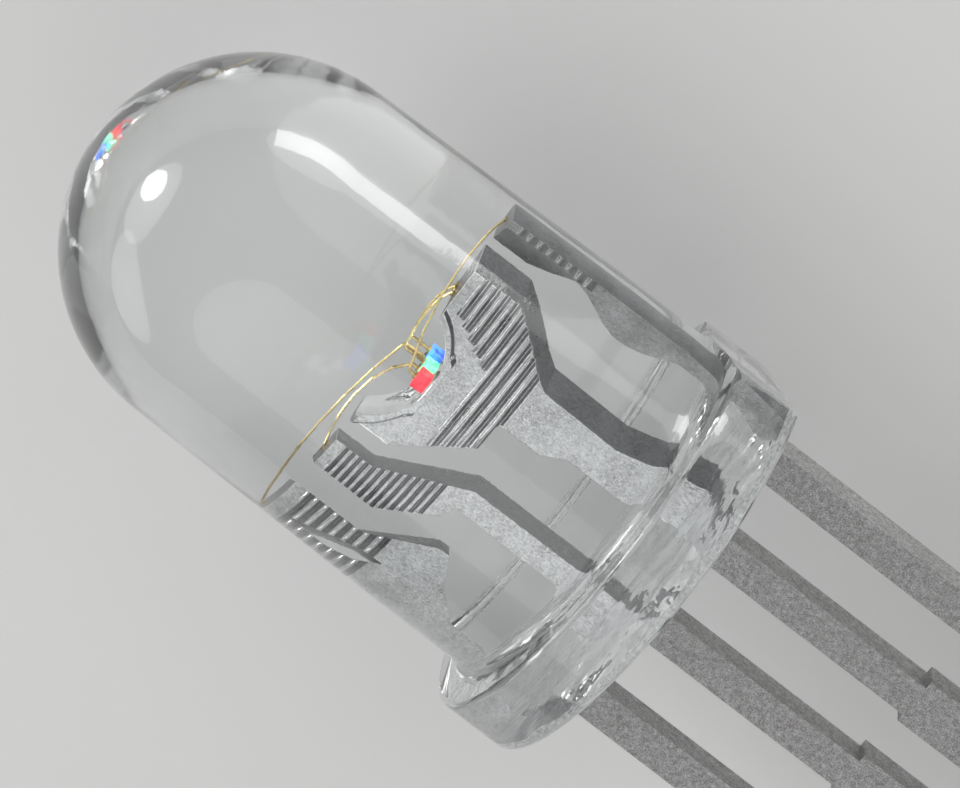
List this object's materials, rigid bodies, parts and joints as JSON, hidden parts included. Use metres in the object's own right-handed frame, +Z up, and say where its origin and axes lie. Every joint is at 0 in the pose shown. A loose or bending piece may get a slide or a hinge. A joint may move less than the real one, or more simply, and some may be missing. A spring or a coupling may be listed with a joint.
{
  "type": "through hole led",
  "caption": "Clear round-nosed light-emitting diode with a flange, a cup of coloured dice inside and straight solder leads in a row.",
  "frame": {"origin": "under the middle of the bounding box, on the table that the part lies on", "axes": "+X from the lead tips towards the dome, +Y across the row of leads away from lead 1 and the flat, +Z up"},
  "size_m": [0.0368, 0.0058, 0.006],
  "materials": {
    "resin": "water-clear cast epoxy",
    "tin": "dull grainy tin plate on a steel strip",
    "silver_paste": "matt silver-filled attach layer",
    "clear_paste": "thin insulating attach layer",
    "red_chip": "faintly lit red die",
    "green_chip": "faintly lit green die",
    "blue_chip": "faintly lit blue die",
    "gold": "bright gold bond wire"
  },
  "bodies": {
    "root": {"case": "resin", "lead_1": "tin", "lead_2": "tin", "lead_3": "tin", "lead_4": "tin", "attach_red": "silver_paste", "attach_green": "clear_paste", "attach_blue": "clear_paste", "die_red": "red_chip", "die_green": "green_chip", "die_blue": "blue_chip", "wire_red": "gold", "wire_green": "gold", "wire_blue": "gold", "wire_green_common": "gold", "wire_blue_common": "gold"}
  },
  "joints": []
}
